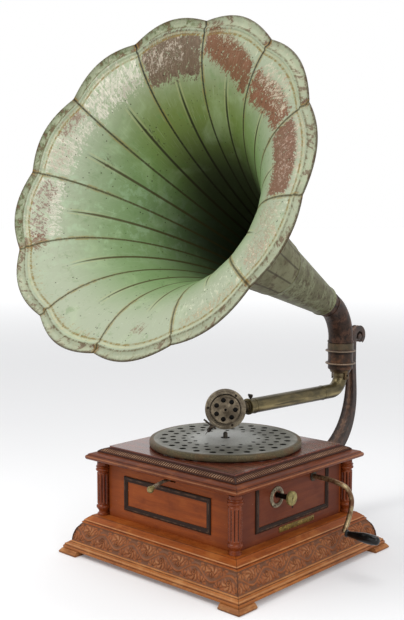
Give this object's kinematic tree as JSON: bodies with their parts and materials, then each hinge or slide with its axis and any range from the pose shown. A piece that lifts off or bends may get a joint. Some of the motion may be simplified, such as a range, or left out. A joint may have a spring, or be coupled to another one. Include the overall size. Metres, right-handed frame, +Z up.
{
  "type": "horn gramophone",
  "caption": "Wind-up gramophone: carved square cabinet, perforated turntable, tone arm with sound box, and a petalled flaring horn on a rear bracket.",
  "frame": {"origin": "middle of the whole object's bounding box, on the floor under the feet", "axes": "+Z up, the cabinet's front faces -Y, the winding crank is at +X"},
  "size_m": [0.5282, 0.7394, 0.8553],
  "materials": {
    "walnut": "French-polished walnut",
    "ebonised": "ebonised, satin",
    "dark_wood": "dark red-brown polish",
    "brass": "tarnished brass",
    "aged_brass": "dull grey-brown brass",
    "cast_iron": "dark patinated casting",
    "steel": "oiled steel",
    "spring_steel": "blued spring steel",
    "black_wood": "black gloss",
    "mica": "mica sheet",
    "brown_paint": "worn and rusted",
    "green_paint": "worn green paint on tinplate"
  },
  "bodies": {
    "cabinet": {"foot_front_left": "walnut", "foot_front_right": "walnut", "foot_back_left": "walnut", "foot_back_right": "walnut", "base_moulding": "walnut", "carved_frieze": "walnut", "ledge_moulding": "walnut", "floor_board": "walnut", "case_front": "walnut", "case_back": "walnut", "case_left": "walnut", "case_right": "walnut", "column_front_left": "walnut", "column_front_right": "walnut", "column_back_left": "walnut", "column_back_right": "walnut", "panel_frame_front": "ebonised", "panel_frame_right": "ebonised", "panel_frame_left": "ebonised", "cornice": "walnut", "carved_strip": "dark_wood", "motor_board": "dark_wood", "name_plate": "brass", "speed_rose": "aged_brass", "crank_bush": "brass", "horn_bracket": "cast_iron", "bracket_collar": "cast_iron", "motor_top_plate": "steel", "motor_bottom_plate": "steel"},
    "turntable": {"turntable_platter": "aged_brass", "spindle": "steel", "worm_wheel": "brass"},
    "barrel": {"spring_barrel": "brass", "mainspring": "spring_steel"},
    "winding": {"winding_arbor": "steel", "winding_wheel": "brass"},
    "pawl": {"ratchet_pawl": "steel"},
    "intermediate": {"intermediate_wheel": "brass"},
    "governor": {"governor_shaft": "steel", "governor_disc": "brass", "governor_weight_1": "brass", "governor_weight_2": "brass", "governor_weight_3": "brass"},
    "crank": {"crank_rod": "steel"},
    "crank_grip": {"crank_handle": "black_wood"},
    "knob": {"speed_knob": "brass"},
    "pad_lever": {"speed_lever": "steel"},
    "brake": {"brake_lever": "steel"},
    "sleeve": {"tonearm_sleeve": "brass"},
    "tone_arm": {"tonearm_tube": "brass"},
    "thumb": {"thumb_screw": "steel"},
    "sound_box": {"soundbox_neck": "brass", "soundbox_body": "aged_brass", "soundbox_guard": "aged_brass", "diaphragm": "mica", "needle_bar": "steel", "needle": "steel"},
    "horn": {"horn_elbow": "brown_paint", "horn_neck": "green_paint", "horn_bell": "green_paint"}
  },
  "joints": [
    {"name": "turntable_spin", "type": "hinge", "parent": "cabinet", "child": "turntable", "pos_m": [-0.04849, -0.04255, 0.19], "axis": [0, 0, 1], "continuous": true},
    {"name": "intermediate_spin", "type": "hinge", "parent": "cabinet", "child": "intermediate", "pos_m": [-0.0528, -0.00782, 0.095], "axis": [0, 0, 1], "continuous": true},
    {"name": "barrel_spin", "type": "hinge", "parent": "cabinet", "child": "barrel", "pos_m": [-0.00849, 0.01045, 0.11], "axis": [0, 0, 1], "continuous": true},
    {"name": "governor_spin", "type": "hinge", "parent": "cabinet", "child": "governor", "pos_m": [-0.04849, -0.06517, 0.1145], "axis": [1, 0, 0], "continuous": true},
    {"name": "crank_turn", "type": "hinge", "parent": "cabinet", "child": "crank", "pos_m": [0.09351, 0.01045, 0.1435], "axis": [1, 0, 0], "continuous": true},
    {"name": "winding_spin", "type": "hinge", "parent": "cabinet", "child": "winding", "pos_m": [-0.00849, 0.01045, 0.12], "axis": [0, 0, 1], "continuous": true},
    {"name": "crank_grip_spin", "type": "hinge", "parent": "crank", "child": "crank_grip", "pos_m": [0.19151, 0.00745, 0.064], "axis": [1, 0, 0], "continuous": true},
    {"name": "pawl_lift", "type": "hinge", "parent": "cabinet", "child": "pawl", "pos_m": [0.01627, 0.01045, 0.094], "axis": [0, 0, 1], "range_deg": [0, 14], "stiffness_Nm_per_rad": 0.02, "springref_deg": -11.46},
    {"name": "speed_turn", "type": "hinge", "parent": "cabinet", "child": "knob", "pos_m": [0.12151, -0.08455, 0.1325], "axis": [1, 0, 0], "range_deg": [0, 270]},
    {"name": "speed_lever_turn", "type": "hinge", "parent": "cabinet", "child": "pad_lever", "pos_m": [0.01951, -0.09917, 0.1145], "axis": [0, 0, 1], "range_deg": [-4, 0]},
    {"name": "brake_swing", "type": "hinge", "parent": "cabinet", "child": "brake", "pos_m": [-0.04099, -0.14655, 0.16], "axis": [0, 0, 1], "range_deg": [0, 12]},
    {"name": "tonearm_swing", "type": "hinge", "parent": "cabinet", "child": "sleeve", "pos_m": [-0.04849, 0.29345, 0.26], "axis": [0, 0, 1], "range_deg": [-30, 35]},
    {"name": "tonearm_lift", "type": "hinge", "parent": "sleeve", "child": "tone_arm", "pos_m": [-0.04849, 0.29345, 0.26], "axis": [-0.9969, 0.0785, 0], "range_deg": [0, 20]},
    {"name": "thumb_screw_turn", "type": "hinge", "parent": "tone_arm", "child": "thumb", "pos_m": [-0.06793, 0.04641, 0.247], "axis": [0, 0, 1], "range_deg": [-180, 180]},
    {"name": "soundbox_turn", "type": "hinge", "parent": "tone_arm", "child": "sound_box", "pos_m": [-0.04849, 0.29345, 0.2315], "axis": [0.0785, 0.9969, 0], "range_deg": [0, 60]},
    {"name": "horn_swivel", "type": "hinge", "parent": "cabinet", "child": "horn", "pos_m": [-0.04849, 0.29345, 0.34], "axis": [0, 0, 1], "range_deg": [-90, 90]}
  ],
  "couplings": [
    {"joint": "intermediate_spin", "follows": "turntable_spin", "ratio": -0.25},
    {"joint": "barrel_spin", "follows": "turntable_spin", "ratio": 0.0625},
    {"joint": "governor_spin", "follows": "turntable_spin", "ratio": -10},
    {"joint": "winding_spin", "follows": "crank_turn", "ratio": 0.5},
    {"joint": "speed_lever_turn", "follows": "speed_turn", "ratio": -0.0148}
  ]
}
